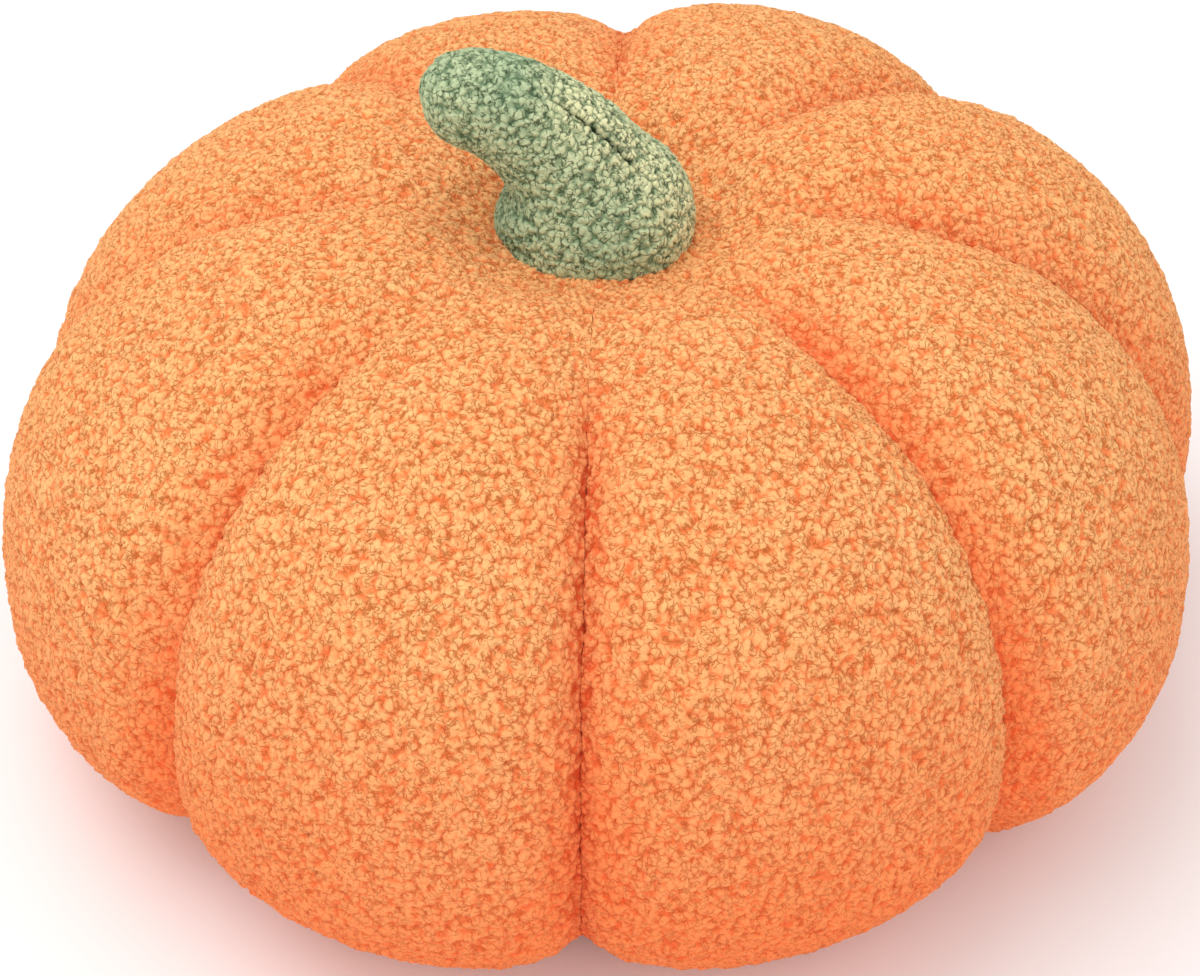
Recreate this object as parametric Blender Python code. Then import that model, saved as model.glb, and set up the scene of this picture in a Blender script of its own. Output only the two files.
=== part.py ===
"""Pumpkin cushion: a round floor cushion of eight sewn gores, filled firm, with a bent stem on top.

Metres, +Z up. The origin is on the floor, under the middle of the cushion's width and depth.
The front is -Y. Bearings are in degrees from the front, counter-clockwise seen from above.
"""
import math

import bpy
import numpy as np

# Seams, as one outline turned about the cushion's axis: 0 at the top of the axis, 180 below
SEAM_RADIUS = 0.157
SEAM_RISE = 0.1035
SEAM_DROP = 0.050
SIDE_POWER = 0.64
CROWN_POWER = 0.87
DIMPLE_DEPTH = 0.0105
DIMPLE_RADIUS = 0.049

# Gores between the seams, each filled out to a crown
GORE_CROWN = 0.32
GORE_ROUNDNESS = 0.40
SEAM_FILL = 0.24
GORES = (
    {"seam_bearing": -1.5, "fullness": 0.84},
    {"seam_bearing": 41.5, "fullness": 0.98},
    {"seam_bearing": 85.5, "fullness": 1.37},
    {"seam_bearing": 129.5, "fullness": 1.33},
    {"seam_bearing": 175.5, "fullness": 0.98},
    {"seam_bearing": 219.0, "fullness": 0.72},
    {"seam_bearing": 269.5, "fullness": 0.97},
    {"seam_bearing": 316.5, "fullness": 0.92},
)

# Where the cushion's axis stands, and how the fill settles on the floor: cloth that faces the floor
# by more than FLOOR_FACING is filled alike on all gores, and what would sink into it lies flat
AXIS_X = -0.0045
AXIS_Y = -0.0018
FLOOR_DROP = 0.0525
FLOOR_FULLNESS = 1.15
FLOOR_FACING = 0.6
SETTLE = 0.003

# Seat of the stem on top
SEAT_RADIUS = 0.0285
SEAT_BLEND = 0.024
GAP = 0.0003

# Stem: a stuffed tube whose axis is a quarter of an ellipse, bending to the left. Each section
# has its bend in degrees, its radius, and what is added inside the bend, where the cloth creases
STEM_REACH = 0.037
STEM_RISE = 0.040
STEM_BACK = 0.004
STEM_SECTIONS = (
    {"bend": 0.0, "radius": 0.0252, "inside": 0.0020},
    {"bend": 6.0, "radius": 0.0262, "inside": 0.0022},
    {"bend": 13.0, "radius": 0.0250, "inside": 0.0015},
    {"bend": 22.0, "radius": 0.0226, "inside": -0.0024},
    {"bend": 32.0, "radius": 0.0200, "inside": -0.0006},
    {"bend": 48.0, "radius": 0.0168, "inside": 0.0014},
    {"bend": 62.0, "radius": 0.0151, "inside": 0.0014},
    {"bend": 76.0, "radius": 0.0143, "inside": 0.0004},
    {"bend": 88.0, "radius": 0.0131, "inside": -0.0006},
)
STEM_TIP = 0.0115

# Mesh steps
OUTLINE_STEPS = 4000
POLE = 1e-6
GORE_COLUMNS = 14
RINGS = 40
STEM_SIDES = 28
BASE_RINGS = 3
TUBE_RINGS = 18
TIP_RINGS = 7


def clear_scene():
    for old in list(bpy.data.objects):
        bpy.data.objects.remove(old, do_unlink=True)


def fabric(name, colour):
    """Matt pile fabric of one colour."""
    material = bpy.data.materials.new(name)
    material.use_nodes = True
    surface = material.node_tree.nodes["Principled BSDF"]
    surface.inputs["Base Color"].default_value = (*colour, 1.0)
    surface.inputs["Roughness"].default_value = 0.9
    surface.inputs["Metallic"].default_value = 0.0
    material.diffuse_color = (*colour, 1.0)
    return material


def sphere_grid(name, columns, rings):
    """A unit sphere, with each vertex's column and ring numbers. Ring 0 is the top pole."""
    bpy.ops.mesh.primitive_uv_sphere_add(segments=columns, ring_count=rings, radius=1.0)
    ball = bpy.context.object
    ball.name = name
    ball.data.name = name
    points = np.array([vertex.co for vertex in ball.data.vertices])
    ring = np.rint(np.arccos(np.clip(points[:, 2], -1.0, 1.0)) / math.pi * rings).astype(int)
    column = np.rint(np.arctan2(points[:, 1], points[:, 0]) / math.tau * columns).astype(int)
    return ball, column % columns, ring


def shape(ball, points):
    ball.data.vertices.foreach_set("co", np.asarray(points, dtype=np.float32).ravel())
    ball.data.update()
    ball.data.shade_smooth()


def soft_step(x):
    x = np.clip(x, 0.0, 1.0)
    return x * x * (3.0 - 2.0 * x)


def seam_outline(turn):
    """Radius and height, above the widest line, of a seam at a turn in radians."""
    radius = SEAM_RADIUS * np.sin(turn) ** SIDE_POWER
    upright = np.cos(turn)
    dimple = DIMPLE_DEPTH * np.exp(-((radius / DIMPLE_RADIUS) ** 2))
    height = np.where(upright > 0, SEAM_RISE, SEAM_DROP) * np.abs(upright) ** CROWN_POWER
    return radius, np.sign(upright) * (height - dimple * np.abs(upright))


def ring_turns():
    """Turns of the rings: the seat's rim, then even steps along a seam down to the lower pole."""
    fine = np.linspace(POLE, math.pi - POLE, OUTLINE_STEPS + 1)
    radius, height = seam_outline(fine)
    along = np.concatenate(([0.0], np.cumsum(np.hypot(np.diff(radius), np.diff(height)))))
    upper = OUTLINE_STEPS // 2
    rim = np.interp(SEAT_RADIUS, radius[:upper], along[:upper])
    steps = np.concatenate(([0.0, rim / 2], np.linspace(rim, along[-1], RINGS - 1)))
    return np.interp(steps, along, fine)


def outline_normal(turn):
    """Outward direction, across and up, of the seam outline."""
    step = math.pi / OUTLINE_STEPS
    radius_a, height_a = seam_outline(np.clip(turn - step, POLE, math.pi - POLE))
    radius_b, height_b = seam_outline(np.clip(turn + step, POLE, math.pi - POLE))
    across, up = height_a - height_b, radius_b - radius_a
    length = np.hypot(across, up)
    return across / length, up / length


def cushion_body(collection, material):
    """The filled body: a crown between each two seams, a flat seat on top, flat where it rests.

    A gore's columns lie closer together at its seams, where the cloth turns in steeply.
    """
    count = len(GORES)
    ball, column, ring = sphere_grid("cushion_body", count * GORE_COLUMNS, RINGS)
    turn = ring_turns()[ring]
    seam_radius, seam_height = seam_outline(turn)
    out_across, out_up = outline_normal(turn)

    seams = np.radians([gore["seam_bearing"] for gore in GORES])
    widths = np.diff(np.append(seams, seams[0] + math.tau))
    fullness = np.array([gore["fullness"] for gore in GORES])
    gore = column // GORE_COLUMNS
    share = (column % GORE_COLUMNS) / GORE_COLUMNS
    across = 0.5 * (2.0 * share - 1.0) - 0.5 * np.cos(math.pi * share)
    bearing = seams[gore] + widths[gore] * (across + 1.0) / 2.0 - math.pi / 2

    downward = soft_step((-out_up - FLOOR_FACING) / (1.0 - FLOOR_FACING))
    full = fullness[gore] + (FLOOR_FULLNESS - fullness[gore]) * downward
    half_gore = seam_radius * math.sin(math.pi / count)
    profile = np.clip(1.0 - across**2, 0.0, 1.0) ** GORE_ROUNDNESS
    profile = np.maximum(profile, SEAM_FILL)
    crown = GORE_CROWN * half_gore * profile * full
    radius = seam_radius + crown * out_across
    height = seam_height + crown * out_up + FLOOR_DROP

    seat_height = seam_outline(np.array([POLE]))[1][0] + FLOOR_DROP
    clear = soft_step((radius - SEAT_RADIUS) / SEAT_BLEND)
    on_top = height > FLOOR_DROP
    at_seat = seam_radius <= SEAT_RADIUS + POLE
    height = np.where(on_top, seat_height + (height - seat_height) * clear, height)
    height = np.where(on_top & at_seat, seat_height, height)
    settled = (height + SETTLE) ** 2 / (4.0 * SETTLE)
    height = np.where(np.abs(height) < SETTLE, settled, np.maximum(height, 0.0))

    x = AXIS_X + radius * np.cos(bearing)
    y = AXIS_Y + radius * np.sin(bearing)
    shape(ball, np.column_stack((x, y, height)))
    finish(ball, collection, material)
    return seat_height


def stem_axis(bend):
    """Point of the stem's axis and its direction, above the middle of the stem's foot."""
    angle = np.radians(bend)
    back = STEM_BACK * (1.0 - np.cos(angle))
    point = np.column_stack((-STEM_REACH * (1.0 - np.cos(angle)), back, STEM_RISE * np.sin(angle)))
    ahead = np.column_stack((-STEM_REACH * np.sin(angle), 0.0 * angle, STEM_RISE * np.cos(angle)))
    return point, ahead / np.linalg.norm(ahead, axis=1)[:, None]


def stem(collection, material, seat_height):
    """The stuffed stem: a flat foot, a flared rim, a bent tapering tube and a rounded end."""
    rings = BASE_RINGS + TUBE_RINGS + TIP_RINGS
    ball, column, ring = sphere_grid("stem", STEM_SIDES, rings)
    bends = [section["bend"] for section in STEM_SECTIONS]
    radii = [section["radius"] for section in STEM_SECTIONS]
    insides = [section["inside"] for section in STEM_SECTIONS]
    from_foot = (rings - ring).astype(float)

    foot = np.clip(from_foot / BASE_RINGS, 0.0, 1.0)
    bend = np.clip((from_foot - BASE_RINGS) / TUBE_RINGS, 0.0, 1.0) * bends[-1]
    tip = np.clip((from_foot - BASE_RINGS - TUBE_RINGS) / TIP_RINGS, 0.0, 1.0) * math.pi / 2
    around = column * math.tau / STEM_SIDES
    inner = np.clip(-np.cos(around), 0.0, 1.0) ** 2
    radius = np.interp(bend, bends, radii) + inner * np.interp(bend, bends, insides)
    radius = radius * foot * np.cos(tip)

    point, ahead = stem_axis(bend)
    side = np.column_stack((ahead[:, 2], 0.0 * around, -ahead[:, 0]))
    points = point + ahead * (STEM_TIP * np.sin(tip))[:, None]
    points = points + side * (radius * np.cos(around))[:, None]
    points[:, 1] += radius * np.sin(around)
    shape(ball, points + np.array((AXIS_X, AXIS_Y, seat_height + GAP)))
    finish(ball, collection, material)


def finish(piece, collection, material):
    for other in list(piece.users_collection):
        other.objects.unlink(piece)
    collection.objects.link(piece)
    piece.data.materials.append(material)


clear_scene()
pumpkin = bpy.data.collections.new("pumpkin_cushion")
bpy.context.scene.collection.children.link(pumpkin)
seat = cushion_body(pumpkin, fabric("orange_fleece", (0.92, 0.30, 0.10)))
stem(pumpkin, fabric("sage_fleece", (0.36, 0.52, 0.32)), seat)
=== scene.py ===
import math

import bmesh
import bpy
import numpy as np
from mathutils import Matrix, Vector
from mathutils.bvhtree import BVHTree
from mathutils.noise import noise_vector, seed_set


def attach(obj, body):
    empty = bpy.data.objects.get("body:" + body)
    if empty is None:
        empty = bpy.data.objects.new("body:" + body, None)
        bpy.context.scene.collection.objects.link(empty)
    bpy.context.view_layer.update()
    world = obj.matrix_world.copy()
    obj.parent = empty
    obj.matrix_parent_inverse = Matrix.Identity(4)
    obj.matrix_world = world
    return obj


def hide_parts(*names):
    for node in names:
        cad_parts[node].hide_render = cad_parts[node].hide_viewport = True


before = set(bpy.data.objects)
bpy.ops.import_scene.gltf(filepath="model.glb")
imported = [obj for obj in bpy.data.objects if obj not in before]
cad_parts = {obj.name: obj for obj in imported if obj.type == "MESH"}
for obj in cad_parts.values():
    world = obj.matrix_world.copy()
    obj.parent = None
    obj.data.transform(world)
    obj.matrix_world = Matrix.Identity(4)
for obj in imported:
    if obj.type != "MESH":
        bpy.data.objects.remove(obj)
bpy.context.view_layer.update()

# Camera, floor and light
# The camera stands 0.78 m away and looks down by 40 degrees onto the cushion. The floor is matt
# white. The light is a white room, one wide soft box above the left and a weak fill in front.
CAMERA_AIM = Vector((-0.0039, -0.0018, 0.0540))
CAMERA_DISTANCE = 0.784
CAMERA_DOWN = math.radians(39.6)
CAMERA_LENS = 78.6
CAMERA_SENSOR = 36.0
FLOOR_SIZE = 12.0
FLOOR_LEVEL = -0.0004
FLOOR_WHITE = (0.93, 0.93, 0.93, 1.0)
FLOOR_ROUGHNESS = 0.9
FLOOR_SPECULAR = 0.1
ROOM_WHITE = (1.0, 1.0, 1.0, 1.0)
ROOM_LIGHT = 0.86
LIGHTS = (
    {"name": "soft_box", "at": (-0.6, 0.15, 1.5), "size": 1.4, "watts": 10.5},
    {"name": "front_fill", "at": (0.2, -1.5, 1.0), "size": 1.0, "watts": 5.0},
)

camera_back = Vector((0.0, -math.cos(CAMERA_DOWN), math.sin(CAMERA_DOWN)))
bpy.ops.object.camera_add(
    location=CAMERA_AIM + camera_back * CAMERA_DISTANCE,
    rotation=(math.pi / 2 - CAMERA_DOWN, 0.0, 0.0),
)
camera = bpy.context.object
camera.name = "camera"
camera.data.lens = CAMERA_LENS
camera.data.sensor_width = CAMERA_SENSOR
bpy.context.scene.camera = camera
bpy.context.scene.view_settings.view_transform = "Standard"

bpy.ops.mesh.primitive_plane_add(size=FLOOR_SIZE, location=(0.0, 0.0, FLOOR_LEVEL))
floor = bpy.context.object
floor.name = "floor"
floor_paint = bpy.data.materials.new("floor_paint")
floor_paint.use_nodes = True
floor_surface = floor_paint.node_tree.nodes["Principled BSDF"]
floor_surface.inputs["Base Color"].default_value = FLOOR_WHITE
floor_surface.inputs["Roughness"].default_value = FLOOR_ROUGHNESS
floor_surface.inputs["Specular IOR Level"].default_value = FLOOR_SPECULAR
floor.data.materials.append(floor_paint)

room = bpy.data.worlds.new("room")
room.use_nodes = True
room.node_tree.nodes["Background"].inputs["Color"].default_value = ROOM_WHITE
room.node_tree.nodes["Background"].inputs["Strength"].default_value = ROOM_LIGHT
bpy.context.scene.world = room

for light in LIGHTS:
    bpy.ops.object.light_add(type="AREA", location=light["at"])
    lamp = bpy.context.object
    lamp.name = light["name"]
    lamp.data.size = light["size"]
    lamp.data.energy = light["watts"]
    lamp.rotation_euler = (Vector(light["at"]) - CAMERA_AIM).to_track_quat("Z", "Y").to_euler()

# Filled body
# The cushion is eight gores of fleece sewn edge to edge and stuffed. Its base cloth starts a little
# inside the frame's solid, is held at its seams, seat and flats, and is blown out by pressure.
AXIS = Vector((-0.0045, -0.0018, 0.0))
HEART = Vector((-0.0045, -0.0018, 0.070))

# Of two values in brackets the first is for the gore before the seam, anticlockwise from above, and
# the second for the gore after it. Each seam adds painted shade to the pile beside it, or takes it
# away where the value is negative. It also adds extra painted shade low down on the gore after it.
SEAMS = (
    {"bearing": -1.5, "groove": 0.0040, "widths": (0.0042, 0.0042), "opens": 0.072, "crease_shade": 1.0,
     "hollow_shades": (0.40, 0.40), "low_shade": 0.16},
    {"bearing": 41.5, "groove": 0.0040, "widths": (0.0040, 0.0095), "opens": 0.045, "crease_shade": 0.35,
     "hollow_shades": (-0.30, 0.75), "low_shade": -0.04},
    {"bearing": 85.5, "groove": 0.0022, "widths": (0.0045, 0.0065), "opens": 0.045, "crease_shade": 0.35,
     "hollow_shades": (0.10, 0.40), "low_shade": 0.00},
    {"bearing": 129.5, "groove": 0.0015, "widths": (0.0050, 0.0050), "opens": 0.045, "crease_shade": 0.25,
     "hollow_shades": (0.30, 0.30), "low_shade": 0.00},
    {"bearing": 175.5, "groove": 0.0012, "widths": (0.0045, 0.0045), "opens": 0.050, "crease_shade": 0.6,
     "hollow_shades": (0.40, 0.40), "low_shade": 0.00},
    {"bearing": 219.0, "groove": 0.0015, "widths": (0.0050, 0.0050), "opens": 0.060, "crease_shade": 0.2,
     "hollow_shades": (0.40, 0.40), "low_shade": 0.00},
    {"bearing": 269.5, "groove": 0.0018, "widths": (0.0065, 0.0045), "opens": 0.050, "crease_shade": 0.2,
     "hollow_shades": (0.35, 0.10), "low_shade": -0.08},
    {"bearing": 316.5, "groove": 0.0040, "widths": (0.0095, 0.0040), "opens": 0.070, "crease_shade": 0.3,
     "hollow_shades": (0.60, 0.00), "low_shade": 0.08},
)
SEAM_OPENING = 0.035
PILE_DEPTH = 0.0011
BODY_INSET = 0.0009
SWELL_CAP = 0.004
BODY_VOXEL = 0.005
HELD_AT_SEAM = 0.006
SEAT_RADIUS = 0.032
PRESSURE = 4.0
SIM_FRAMES = 20
SAME_PLACE = 1e-5


def copy_of_node(node, name):
    """A copy of a CAD node's mesh with its loose triangles joined, as a new object."""
    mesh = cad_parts[node].data.copy()
    piece = bpy.data.objects.new(name, mesh)
    bpy.context.scene.collection.objects.link(piece)
    joined = bmesh.new()
    joined.from_mesh(mesh)
    bmesh.ops.remove_doubles(joined, verts=joined.verts, dist=SAME_PLACE)
    joined.to_mesh(mesh)
    joined.free()
    mesh.materials.clear()
    return piece


def select_only(piece):
    bpy.ops.object.select_all(action="DESELECT")
    piece.select_set(True)
    bpy.context.view_layer.objects.active = piece


def apply_modifier(piece, kind, **values):
    """Adds a modifier of that kind with those values, and applies it."""
    select_only(piece)
    modifier = piece.modifiers.new(kind.lower(), kind)
    for key, value in values.items():
        setattr(modifier, key, value)
    bpy.ops.object.modifier_apply(modifier=modifier.name)


def points_of(mesh):
    points = np.empty(len(mesh.vertices) * 3, np.float32)
    mesh.vertices.foreach_get("co", points)
    return points.reshape(-1, 3).astype(float)


def set_points(mesh, points):
    mesh.vertices.foreach_set("co", np.asarray(points, np.float32).ravel())
    mesh.update()


def blow_up(piece, held, cap):
    """Fills a closed piece by cloth pressure. held is from 0, free, to 1, sewn down."""
    start = points_of(piece.data)
    group = piece.vertex_groups.new(name="held")
    for index, weight in enumerate(held):
        group.add([index], float(weight), "REPLACE")
    select_only(piece)
    cloth = piece.modifiers.new("cloth", "CLOTH")
    cloth.settings.use_pressure = True
    cloth.settings.uniform_pressure_force = PRESSURE
    cloth.settings.effector_weights.gravity = 0.0
    cloth.settings.vertex_group_mass = "held"
    cloth.point_cache.frame_start = 1
    cloth.point_cache.frame_end = SIM_FRAMES
    for moment in range(1, SIM_FRAMES + 1):
        bpy.context.scene.frame_set(moment)
    bpy.ops.object.modifier_apply(modifier=cloth.name)
    bpy.context.scene.frame_set(1)
    piece.vertex_groups.clear()
    move = points_of(piece.data) - start
    length = np.linalg.norm(move, axis=1)
    move *= (np.minimum(length, cap) / np.maximum(length, 1e-9))[:, None]
    set_points(piece.data, start + move)


def seam_distance(points, bearing):
    """Distance of points from the upright half plane of a seam, negative on its clockwise side."""
    angle = math.radians(bearing) - math.pi / 2
    x, y = points[:, 0] - AXIS.x, points[:, 1] - AXIS.y
    return y * math.cos(angle) - x * math.sin(angle)


def seam_ahead(points, bearing):
    """How far points lie from the axis in a seam's direction."""
    angle = math.radians(bearing) - math.pi / 2
    x, y = points[:, 0] - AXIS.x, points[:, 1] - AXIS.y
    return x * math.cos(angle) + y * math.sin(angle)


body_form = copy_of_node("cushion_body", "body_form")
apply_modifier(body_form, "DISPLACE", strength=-BODY_INSET, mid_level=0.0)
apply_modifier(body_form, "REMESH", mode="VOXEL", voxel_size=BODY_VOXEL)
form_points = points_of(body_form.data)
held = np.zeros(len(form_points))
for seam in SEAMS:
    near = np.exp(-((seam_distance(form_points, seam["bearing"]) / HELD_AT_SEAM) ** 2))
    held = np.maximum(held, near * (seam_ahead(form_points, seam["bearing"]) > 0))
from_axis = np.hypot(form_points[:, 0] - AXIS.x, form_points[:, 1] - AXIS.y)
held[from_axis < SEAT_RADIUS] = 1.0
held[form_points[:, 2] < 2 * BODY_INSET] = 1.0
blow_up(body_form, held, SWELL_CAP)
apply_modifier(body_form, "SUBSURF", levels=1, render_levels=1)

# Pile
# Looped teddy fleece: curly nubs about 2 mm across with short crooked crevices between them. The nubs
# are raised in the meshes from each point's place on the base cloth, which the materials read too.
# The materials paint shade into the crevices and strokes between the nubs.
NUB = 0.0020
NUB_EDGE = 0.95
NUB_TOP = 0.25
RIM_WIDTH = 0.075
RIM_GAPS = 0.0022
RIM_OPENS = (0.44, 0.60)
CURL = 0.0020
CURL_WIDTH = 0.085
CURL_GAPS = 0.0015
CURL_OPENS = (0.40, 0.60)
WANDER = 0.0026
WANDER_SIZE = 0.0020
LOOP = 0.0026
LOOP_TURNS = 50.0
LOOP_HEIGHT = 0.35
NUB_SHARE = 0.80
LOOP_SHARE = 0.24
DRIFT_SIZE = 0.030
DRIFT_RANGE = (0.35, 0.65)
DRIFT_SHARE = 0.3
# How far painted shade evens out the nubs' colours and softens the strokes.
PAINTED_SHADE_EVENS = 0.18
PAINTED_SHADE_SOFTENS = 0.5
NUBS_OUT_OF_SEAM_SHADE = 0.55
BUMP_STRENGTH = 0.5
BUMP_HEIGHT = 0.0007
ROUGHNESS = 0.95
SPECULAR = 0.15
SHEEN = 0.2
SHEEN_ROUGHNESS = 0.5
REST_PLACE = "rest_place"
SEAM_SHADE = "seam_shade"
PAINTED_HIGHLIGHT = "painted_highlight"
PAINTED_SHADE = "painted_shade"


def wire(tree, kind, inputs=(), **values):
    """A node of a tree, with its inputs linked or set, by name or by number."""
    node = tree.nodes.new(kind)
    for key, value in values.items():
        setattr(node, key, value)
    for key, value in dict(inputs).items():
        if isinstance(value, bpy.types.NodeSocket):
            tree.links.new(value, node.inputs[key])
        else:
            node.inputs[key].default_value = value
    return node


def maths(tree, operation, *inputs):
    node = wire(tree, "ShaderNodeMath", dict(enumerate(inputs)), operation=operation)
    return node.outputs[0]


def smooth_between(tree, value, low, high, to_low=0.0, to_high=1.0):
    """The value mapped smoothly from low to high onto to_low to to_high."""
    mapped = wire(tree, "ShaderNodeMapRange",
                  {"Value": value, "From Min": low, "From Max": high, "To Min": to_low,
                   "To Max": to_high}, interpolation_type="SMOOTHSTEP")
    return mapped.outputs[0]


def noise(tree, point, size, detail=0.0, output=0):
    """Noise whose patches are about size metres across: its value, or its colour as output 1."""
    cloud = wire(tree, "ShaderNodeTexNoise",
                 {"Vector": point, "Scale": 1.0 / size, "Detail": detail})
    return cloud.outputs[output]


def mix(tree, share, first, second):
    blend = wire(tree, "ShaderNodeMix", {"Factor": share, 6: first, 7: second}, data_type="RGBA")
    return blend.outputs[2]


def pile_field(tree, point):
    """In a geometry or a shader tree: nubs, 1 on their tops, the crevices' strokes, and loops."""
    wander = noise(tree, point, WANDER_SIZE, 1.0, 1)
    centred = wire(tree, "ShaderNodeVectorMath", {0: wander, 1: (0.5, 0.5, 0.5)},
                   operation="SUBTRACT")
    shift = wire(tree, "ShaderNodeVectorMath", {0: centred.outputs[0], "Scale": WANDER},
                 operation="SCALE")
    crooked = wire(tree, "ShaderNodeVectorMath", {0: point, 1: shift.outputs[0]},
                   operation="ADD").outputs[0]
    cells = wire(tree, "ShaderNodeTexVoronoi", {"Vector": crooked, "Scale": 1.0 / NUB})
    nubs = smooth_between(tree, cells.outputs["Distance"], NUB_EDGE, NUB_TOP)
    edges = wire(tree, "ShaderNodeTexVoronoi", {"Vector": crooked, "Scale": 1.0 / NUB},
                 feature="DISTANCE_TO_EDGE")
    rims = smooth_between(tree, edges.outputs["Distance"], RIM_WIDTH, 0.0)
    open_rims = smooth_between(tree, noise(tree, point, RIM_GAPS), *RIM_OPENS)
    level = maths(tree, "SUBTRACT", noise(tree, crooked, CURL), 0.5)
    curls = smooth_between(tree, maths(tree, "ABSOLUTE", level), CURL_WIDTH, 0.0)
    open_curls = smooth_between(tree, noise(tree, point, CURL_GAPS), *CURL_OPENS)
    strokes = maths(tree, "MAXIMUM", maths(tree, "MULTIPLY", rims, open_rims),
                    maths(tree, "MULTIPLY", curls, open_curls))
    turns_at = maths(tree, "MULTIPLY", noise(tree, crooked, LOOP), LOOP_TURNS)
    loops = maths(tree, "MULTIPLY_ADD", maths(tree, "SINE", turns_at), 0.5, 0.5)
    return nubs, strokes, loops


def raise_pile(piece, depth):
    """Lifts the nubs of a piece's pile, and keeps each point's place on its base cloth."""
    tree = bpy.data.node_groups.new("raise_pile", "GeometryNodeTree")
    tree.interface.new_socket("Geometry", in_out="INPUT", socket_type="NodeSocketGeometry")
    tree.interface.new_socket("Geometry", in_out="OUTPUT", socket_type="NodeSocketGeometry")
    cloth_in = wire(tree, "NodeGroupInput").outputs[0]
    place = wire(tree, "GeometryNodeInputPosition").outputs[0]
    kept_place = wire(tree, "GeometryNodeStoreNamedAttribute",
                      {"Geometry": cloth_in, "Name": REST_PLACE, "Value": place},
                      data_type="FLOAT_VECTOR", domain="POINT").outputs[0]
    height = maths(tree, "MULTIPLY", pile_field(tree, place)[0], depth)
    outward = wire(tree, "GeometryNodeInputNormal").outputs[0]
    lift = wire(tree, "ShaderNodeVectorMath", {0: outward, "Scale": height}, operation="SCALE")
    lifted = wire(tree, "GeometryNodeSetPosition",
                  {"Geometry": kept_place, "Offset": lift.outputs[0]}).outputs[0]
    wire(tree, "NodeGroupOutput", {0: lifted})
    apply_modifier(piece, "NODES", node_group=tree)


looped_pile = bpy.data.node_groups.new("looped_pile", "ShaderNodeTree")
for name in ("Nub Colour", "Drift And Highlight Colour", "Crevice Shade Colour", "Stroke Shade Colour", "Seam Shade Colour",
             "Painted Shade Tint"):
    looped_pile.interface.new_socket(name, in_out="INPUT", socket_type="NodeSocketColor")
looped_pile.interface.new_socket("Stroke Share", in_out="INPUT", socket_type="NodeSocketFloat")
looped_pile.interface.new_socket("Colour", in_out="OUTPUT", socket_type="NodeSocketColor")
looped_pile.interface.new_socket("Height", in_out="OUTPUT", socket_type="NodeSocketFloat")
group_in = wire(looped_pile, "NodeGroupInput")
at_rest = wire(looped_pile, "ShaderNodeAttribute", attribute_name=REST_PLACE).outputs["Vector"]
seam_shade = wire(looped_pile, "ShaderNodeAttribute", attribute_name=SEAM_SHADE).outputs["Fac"]
painted_highlight = wire(looped_pile, "ShaderNodeAttribute", attribute_name=PAINTED_HIGHLIGHT).outputs["Fac"]
painted_shade = wire(looped_pile, "ShaderNodeAttribute", attribute_name=PAINTED_SHADE).outputs["Fac"]
nubs, strokes, loops = pile_field(looped_pile, at_rest)
drift = smooth_between(looped_pile, noise(looped_pile, at_rest, DRIFT_SIZE, 2.0), *DRIFT_RANGE,
                       0.0, DRIFT_SHARE)
# The nub tops drift between two colours at random. On the stem they also take a painted highlight on
# its lit outer side.
tops = mix(looped_pile, maths(looped_pile, "MAXIMUM", drift, painted_highlight),
           group_in.outputs["Nub Colour"], group_in.outputs["Drift And Highlight Colour"])
share = maths(looped_pile, "MULTIPLY_ADD", loops, LOOP_SHARE,
              maths(looped_pile, "MULTIPLY", nubs, NUB_SHARE))
# Under painted shade the nubs and strokes show less contrast.
share = maths(looped_pile, "MULTIPLY_ADD", painted_shade, PAINTED_SHADE_EVENS, share)
# Painted shade: low places in the pile take the crevice colour, and the strokes a darker colour
# still.
piled = mix(looped_pile, share, group_in.outputs["Crevice Shade Colour"], tops)
softer = maths(looped_pile, "MULTIPLY_ADD", painted_shade, -PAINTED_SHADE_SOFTENS, group_in.outputs["Stroke Share"])
stroked = mix(looped_pile, maths(looped_pile, "MULTIPLY", strokes, softer), piled,
              group_in.outputs["Stroke Shade Colour"])
# Painted shade in the seams' creases: a dark line along each seam, with the nub tops kept out of it.
seam_shaded = maths(looped_pile, "MULTIPLY", seam_shade,
             maths(looped_pile, "MULTIPLY_ADD", nubs, -NUBS_OUT_OF_SEAM_SHADE, 1.0))
with_seam_shade = mix(looped_pile, seam_shaded, stroked, group_in.outputs["Seam Shade Colour"])
# Painted shade: the colour is multiplied towards a darker red low down and beside the seams.
finished = wire(looped_pile, "ShaderNodeMix",
                {"Factor": painted_shade, 6: with_seam_shade, 7: group_in.outputs["Painted Shade Tint"]},
                data_type="RGBA", blend_type="MULTIPLY").outputs[2]
height = maths(looped_pile, "MULTIPLY_ADD", loops, LOOP_HEIGHT,
               maths(looped_pile, "SUBTRACT", nubs, strokes))
wire(looped_pile, "NodeGroupOutput", {0: finished, 1: height})


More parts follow.
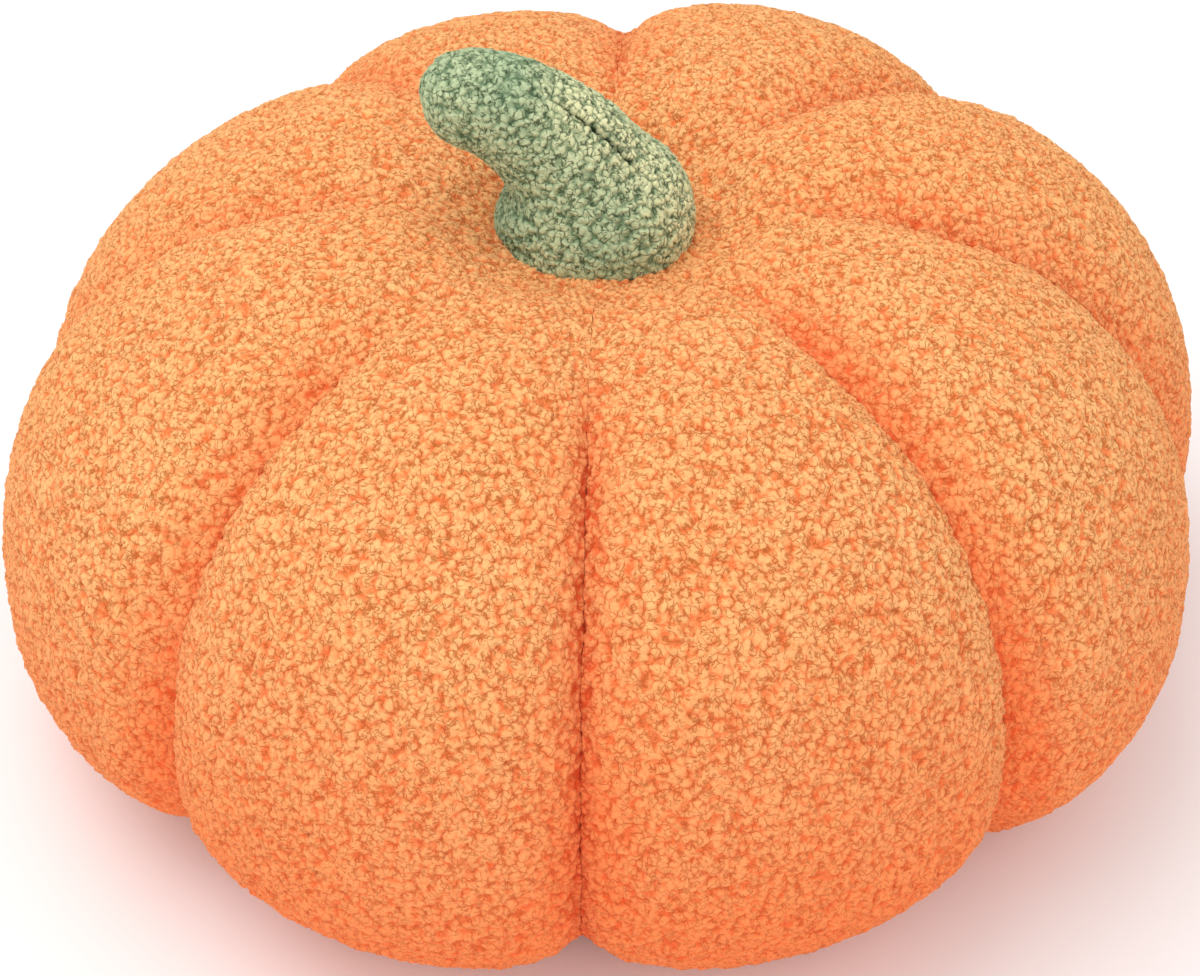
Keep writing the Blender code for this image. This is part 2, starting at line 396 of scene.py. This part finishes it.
def fleece(name, colours, stroke_share):
    """Matt looped fleece: its colour and bump follow the pile, and its fibre tips catch light."""
    material = bpy.data.materials.new(name)
    material.use_nodes = True
    tree = material.node_tree
    surface = tree.nodes["Principled BSDF"]
    pile = wire(tree, "ShaderNodeGroup", {}, node_tree=looped_pile)
    for key, colour in colours.items():
        pile.inputs[key].default_value = (*colour, 1.0)
    pile.inputs["Stroke Share"].default_value = stroke_share
    bump = wire(tree, "ShaderNodeBump",
                {"Height": pile.outputs["Height"], "Strength": BUMP_STRENGTH,
                 "Distance": BUMP_HEIGHT})
    tree.links.new(pile.outputs["Colour"], surface.inputs["Base Color"])
    tree.links.new(bump.outputs[0], surface.inputs["Normal"])
    surface.inputs["Roughness"].default_value = ROUGHNESS
    surface.inputs["Specular IOR Level"].default_value = SPECULAR
    surface.inputs["Sheen Weight"].default_value = SHEEN
    surface.inputs["Sheen Roughness"].default_value = SHEEN_ROUGHNESS
    surface.inputs["Sheen Tint"].default_value = (*colours["Nub Colour"], 1.0)
    return material


# Gores
# Each of the eight gores is a long leaf of orange fleece, from the stem's seat round to the middle
# of the underside. Its edges turn in to the seams, where the pile of two gores presses together.
GORE_ACROSS = 164
GORE_ALONG = 320
FINE_STEPS = 400
UPRIGHT_SHARE = 0.55
SMOOTHING = 4
GROOVE_POWER = 1.5
# Width of the painted shade along a seam's crease.
SEAM_SHADE_WIDTH = 0.0034
HOLLOW_SHADE_WIDTH = 0.012
# Painted shade low down on the gores, and extra painted shade on some gores below a second level.
PAINTED_SHADE_BELOW = 0.130
PAINTED_SHADE_FADE = 0.110
LOW_SHADE_BELOW = 0.165
LOW_SHADE_FADE = 0.050
SEAT_PUFF = 0.003
SEAT_PUFF_WIDTH = 0.040
SEAM_CLEARANCE = 0.00002
SEAM_WANDER = 0.0007
SEAM_WANDER_SIZE = 0.005
SEAM_WANDER_SEED = 1
SETTLED_BELOW = 0.020
UNDERSIDE_LEVEL = 0.015
UNDERSIDE_SHARE = 0.6
POLE_MERGE = 1e-6

# The crevice, stroke, seam and tint colours paint shade into the pile.
orange_fleece = fleece(
    "orange_fleece",
    {"Nub Colour": (1.0, 0.54, 0.22), "Drift And Highlight Colour": (1.0, 0.48, 0.17),
     "Crevice Shade Colour": (0.86, 0.17, 0.04), "Stroke Shade Colour": (0.52, 0.15, 0.03),
     "Seam Shade Colour": (0.62, 0.06, 0.01), "Painted Shade Tint": (1.0, 0.48, 0.38)},
    stroke_share=0.9,
)

form_mesh = bmesh.new()
form_mesh.from_mesh(body_form.data)
form_tree = BVHTree.FromBMesh(form_mesh)
form_mesh.free()


def on_form(bearing, turn):
    """Point of the filled body seen from its heart, at a bearing and a turn in radians."""
    angle = bearing - math.pi / 2
    way = Vector((math.sin(turn) * math.cos(angle), math.sin(turn) * math.sin(angle),
                  UPRIGHT_SHARE * math.cos(turn)))
    return form_tree.ray_cast(HEART, way.normalized())[0]


def row_turns():
    """Turns of a gore's rows: even steps along its middle, wider apart on the underside."""
    fine = np.linspace(0.0, math.pi, FINE_STEPS)
    middle = math.radians((SEAMS[0]["bearing"] + SEAMS[1]["bearing"]) / 2)
    line = np.array([on_form(middle, turn) for turn in fine])
    steps = np.linalg.norm(np.diff(line, axis=0), axis=1)
    steps *= np.where(line[1:, 2] < UNDERSIDE_LEVEL, UNDERSIDE_SHARE, 1.0)
    along = np.concatenate(([0.0], np.cumsum(steps)))
    return np.interp(np.linspace(0.0, along[-1], GORE_ALONG + 1), along, fine)


def smooth_grid(points, passes):
    """Evens out a grid of points, leaving its border where it is."""
    for _ in range(passes):
        inner = points[1:-1, 1:-1]
        around = points[:-2, 1:-1] + points[2:, 1:-1] + points[1:-1, :-2] + points[1:-1, 2:]
        points[1:-1, 1:-1] = 0.5 * inner + 0.125 * around
    return points


seed_set(SEAM_WANDER_SEED)
turns = row_turns()
for number, seam in enumerate(SEAMS):
    next_seam = SEAMS[(number + 1) % len(SEAMS)]
    start_bearing = seam["bearing"]
    end_bearing = next_seam["bearing"] + (360.0 if next_seam is SEAMS[0] else 0.0)
    bpy.ops.object.select_all(action="DESELECT")
    bpy.ops.mesh.primitive_grid_add(x_subdivisions=GORE_ACROSS, y_subdivisions=GORE_ALONG, size=2.0)
    gore = bpy.context.object
    gore.name = gore.data.name = f"gore_{number + 1}"
    flat = points_of(gore.data)
    column = np.rint((flat[:, 0] + 1.0) / 2.0 * GORE_ACROSS).astype(int)
    row = np.rint((1.0 - flat[:, 1]) / 2.0 * GORE_ALONG).astype(int)

    share = np.linspace(-1.0, 1.0, GORE_ACROSS + 1)
    share = 0.5 * share + 0.5 * np.sin(share * math.pi / 2)
    bearings = np.radians(start_bearing + (end_bearing - start_bearing) * (share + 1.0) / 2.0)
    grid = np.array([[on_form(bearing, turn) for bearing in bearings] for turn in turns])
    grid = smooth_grid(grid, SMOOTHING)

    cloth = grid.reshape(-1, 3)
    outward_way = np.cross(np.gradient(grid, axis=0), np.gradient(grid, axis=1))
    outward_way /= np.maximum(np.linalg.norm(outward_way, axis=2), 1e-12)[:, :, None]
    middle_way = outward_way[:, GORE_ACROSS // 2][:, None]
    reach = np.hypot(grid[:, :, 0] - AXIS.x, grid[:, :, 1] - AXIS.y)
    upper = grid[:, :, 2] > HEART.z
    groove = np.zeros(reach.shape)
    seam_shade_share = np.zeros(reach.shape)
    # Painted shade: darker, redder pile low down, more on some gores, and in the hollows beside the
    # seams.
    painted_shade_share = np.clip((PAINTED_SHADE_BELOW - grid[:, :, 2]) / PAINTED_SHADE_FADE, 0.0, 1.0)
    painted_shade_share += seam["low_shade"] * np.clip((LOW_SHADE_BELOW - grid[:, :, 2]) / LOW_SHADE_FADE, 0.0, 1.0)
    for edge, side in ((seam, 1), (next_seam, 0)):
        apart = np.abs(seam_distance(cloth, edge["bearing"])).reshape(reach.shape)
        opened = np.clip((reach - edge["opens"]) / SEAM_OPENING, 0.0, 1.0)
        opened = np.where(upper, opened, np.clip(reach / SEAM_OPENING, 0.0, 1.0))
        groove += edge["groove"] * opened * np.exp(-((apart / edge["widths"][side]) ** GROOVE_POWER))
        # Painted shade along the seam's crease.
        seam_shade_share += edge["crease_shade"] * opened * np.exp(-((apart / SEAM_SHADE_WIDTH) ** 2))
        painted_shade_share += edge["hollow_shades"][side] * opened * np.exp(-((apart / HOLLOW_SHADE_WIDTH) ** 2))
    grid = grid - middle_way * groove[:, :, None]
    grid[:, :, 2] += upper * SEAT_PUFF * np.exp(-((reach / SEAT_PUFF_WIDTH) ** 2))
    set_points(gore.data, grid[row, column])
    for layer_name, shares in ((SEAM_SHADE, seam_shade_share), (PAINTED_SHADE, painted_shade_share)):
        layer = gore.data.attributes.new(layer_name, "FLOAT", "POINT")
        layer.data.foreach_set("value", np.clip(shares, 0.0, 1.0)[row, column])
    select_only(gore)
    bpy.ops.object.mode_set(mode="EDIT")
    bpy.ops.mesh.select_all(action="SELECT")
    bpy.ops.mesh.remove_doubles(threshold=POLE_MERGE)
    bpy.ops.mesh.normals_make_consistent(inside=False)
    bpy.ops.object.mode_set(mode="OBJECT")
    raise_pile(gore, PILE_DEPTH)

    points = points_of(gore.data)
    for bearing, side in ((start_bearing, 1.0), (end_bearing, -1.0)):
        angle = math.radians(bearing) - math.pi / 2
        beyond = np.maximum(SEAM_CLEARANCE - side * seam_distance(points, bearing), 0.0)
        points[:, 0] -= side * beyond * math.sin(angle)
        points[:, 1] += side * beyond * math.cos(angle)
    sinking = np.clip(1.0 - points[:, 2] / SETTLED_BELOW, 0.0, 1.0)
    points[:, 2] = np.maximum(points[:, 2] - BODY_INSET * sinking, 0.0)
    crooked = [noise_vector(Vector(point) / SEAM_WANDER_SIZE) for point in points]
    points += SEAM_WANDER * np.array(crooked) * np.clip(points[:, 2:] / SETTLED_BELOW, 0.0, 1.0)
    set_points(gore.data, points)

    bpy.ops.object.mode_set(mode="EDIT")
    bpy.ops.mesh.select_mode(type="EDGE")
    bpy.ops.mesh.select_all(action="DESELECT")
    bpy.ops.mesh.select_non_manifold()
    bpy.ops.mesh.extrude_edges_move()
    bpy.ops.transform.resize(value=(0.0, 0.0, 0.0), center_override=HEART)
    bpy.ops.mesh.remove_doubles(threshold=POLE_MERGE)
    bpy.ops.mesh.select_all(action="SELECT")
    bpy.ops.mesh.normals_make_consistent(inside=False)
    bpy.ops.object.mode_set(mode="OBJECT")
    gore.data.shade_smooth()
    gore.data.materials.append(orange_fleece)
    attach(gore, "root")
    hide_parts("cushion_body")
bpy.data.objects.remove(body_form)

# Stem
# A bent tube of sage green fleece, stuffed hard. A seam runs along its outer side to the front, with
# painted shade along it and a painted highlight beside it where light falls. Its flared foot is sewn
# into the pile of the dimple.
STEM_VOXEL = 0.0036
STEM_INSET = 0.0002
STEM_PILE_DEPTH = 0.0007
STEM_SWELL_CAP = 0.0015
STEM_LEVELS = 3
STEM_STEPS = 91
STEM_BASE = Vector((-0.0045, -0.0018, 0.1458))
STEM_REACH = 0.037
STEM_RISE = 0.040
STEM_BACK = 0.004
STEM_PUFFS = (
    {"bend": 0.0, "outer": 0.0010, "inner": 0.0},
    {"bend": 6.0, "outer": 0.0015, "inner": 0.0},
    {"bend": 13.0, "outer": 0.0020, "inner": 0.0010},
    {"bend": 20.0, "outer": 0.0018, "inner": 0.0050},
    {"bend": 27.0, "outer": -0.0004, "inner": 0.0062},
    {"bend": 33.0, "outer": -0.0008, "inner": 0.0050},
    {"bend": 40.0, "outer": 0.0, "inner": 0.0010},
    {"bend": 48.0, "outer": 0.0, "inner": 0.0},
    {"bend": 70.0, "outer": 0.0005, "inner": 0.0},
    {"bend": 90.0, "outer": 0.0012, "inner": 0.0},
)
STEM_SEAM_ANGLE = math.radians(-32.0)
STEM_SEAM_FROM = math.radians(24.0)
STEM_SEAM_TO = math.radians(62.0)
STEM_SEAM_FADE = math.radians(9.0)
STEM_SEAM_DEPTH = 0.0021
STEM_SEAM_WIDTH = 0.0009
# How dark the painted shade along the stem's seam is.
STEM_SEAM_SHADE = 1.8
# Where the painted highlight lies on the stem's outer side.
HIGHLIGHT_ANGLE = math.radians(-18.0)
HIGHLIGHT_WIDTH = 0.016
HIGHLIGHT_TO = math.radians(75.0)
HIGHLIGHT_FADE = math.radians(20.0)
FOOT_DEPTH = 0.0040
FOOT_HEIGHT = 0.008

# On the stem the drift colour also serves as the painted highlight. Its crevice, stroke and seam
# colours are painted shade.
sage_fleece = fleece(
    "sage_fleece",
    {"Nub Colour": (0.42, 0.55, 0.33), "Drift And Highlight Colour": (0.88, 0.86, 0.49),
     "Crevice Shade Colour": (0.10, 0.18, 0.09), "Stroke Shade Colour": (0.04, 0.07, 0.03),
     "Seam Shade Colour": (0.02, 0.04, 0.015), "Painted Shade Tint": (1.0, 1.0, 1.0)},
    stroke_share=0.9,
)


def stem_places(points):
    """Each point's bend and angle about the stem's axis, in radians, and its way from the axis."""
    bends = np.linspace(0.0, math.pi / 2, STEM_STEPS)
    centres = np.column_stack((STEM_BASE.x - STEM_REACH * (1.0 - np.cos(bends)),
                               STEM_BASE.y + STEM_BACK * (1.0 - np.cos(bends)),
                               STEM_BASE.z + STEM_RISE * np.sin(bends)))
    ahead = np.column_stack((-STEM_REACH * np.sin(bends), 0.0 * bends, STEM_RISE * np.cos(bends)))
    ahead /= np.linalg.norm(ahead, axis=1)[:, None]
    to_points = points[:, None] - centres[None]
    nearest = np.abs(np.einsum("pck,ck->pc", to_points, ahead)).argmin(axis=1)
    away = to_points[np.arange(len(points)), nearest]
    outside = away[:, 0] * ahead[nearest, 2] - away[:, 2] * ahead[nearest, 0]
    radius = np.hypot(away[:, 1], outside)
    return bends[nearest], np.arctan2(away[:, 1], outside), radius, away


stem = copy_of_node("stem", "stem_cover")
apply_modifier(stem, "DISPLACE", strength=-STEM_INSET, mid_level=0.0)
apply_modifier(stem, "REMESH", mode="VOXEL", voxel_size=STEM_VOXEL)
stem_points = points_of(stem.data)
held = (stem_points[:, 2] < stem_points[:, 2].min() + STEM_VOXEL / 2).astype(float)
blow_up(stem, held, STEM_SWELL_CAP)
apply_modifier(stem, "SUBSURF", levels=STEM_LEVELS, render_levels=STEM_LEVELS)

stem_points = points_of(stem.data)
bend, angle, radius, away = stem_places(stem_points)
puff_bends = np.radians([puff["bend"] for puff in STEM_PUFFS])
outer = np.interp(bend, puff_bends, [puff["outer"] for puff in STEM_PUFFS])
inner = np.interp(bend, puff_bends, [puff["inner"] for puff in STEM_PUFFS])
puffed = outer * np.clip(np.cos(angle), 0.0, 1.0) + inner * np.clip(-np.cos(angle), 0.0, 1.0) ** 2
from_seam = radius * np.abs(angle - STEM_SEAM_ANGLE)
along_seam = np.clip((bend - STEM_SEAM_FROM) / STEM_SEAM_FADE, 0.0, 1.0)
along_seam *= np.clip((STEM_SEAM_TO - bend) / STEM_SEAM_FADE, 0.0, 1.0)
cut = along_seam * np.exp(-((from_seam / STEM_SEAM_WIDTH) ** 2))
outward = away / np.maximum(np.linalg.norm(away, axis=1), 1e-9)[:, None]
stem_points += (puffed - STEM_SEAM_DEPTH * cut)[:, None] * outward
low = np.clip(1.0 - (stem_points[:, 2] - STEM_BASE.z) / FOOT_HEIGHT, 0.0, 1.0)
stem_points[:, 2] -= FOOT_DEPTH * low
set_points(stem.data, stem_points)
# Painted highlight: the stem's outer side is coloured lighter where light falls on it.
painted_highlight = np.exp(-((radius * (angle - HIGHLIGHT_ANGLE) / HIGHLIGHT_WIDTH) ** 2))
painted_highlight *= np.clip((HIGHLIGHT_TO - bend) / HIGHLIGHT_FADE, 0.0, 1.0)
for layer_name, shares in ((SEAM_SHADE, STEM_SEAM_SHADE * cut), (PAINTED_HIGHLIGHT, painted_highlight)):
    layer = stem.data.attributes.new(layer_name, "FLOAT", "POINT")
    layer.data.foreach_set("value", shares)
raise_pile(stem, STEM_PILE_DEPTH)
stem.data.shade_smooth()
stem.data.materials.append(sage_fleece)
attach(stem, "root")
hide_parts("stem")
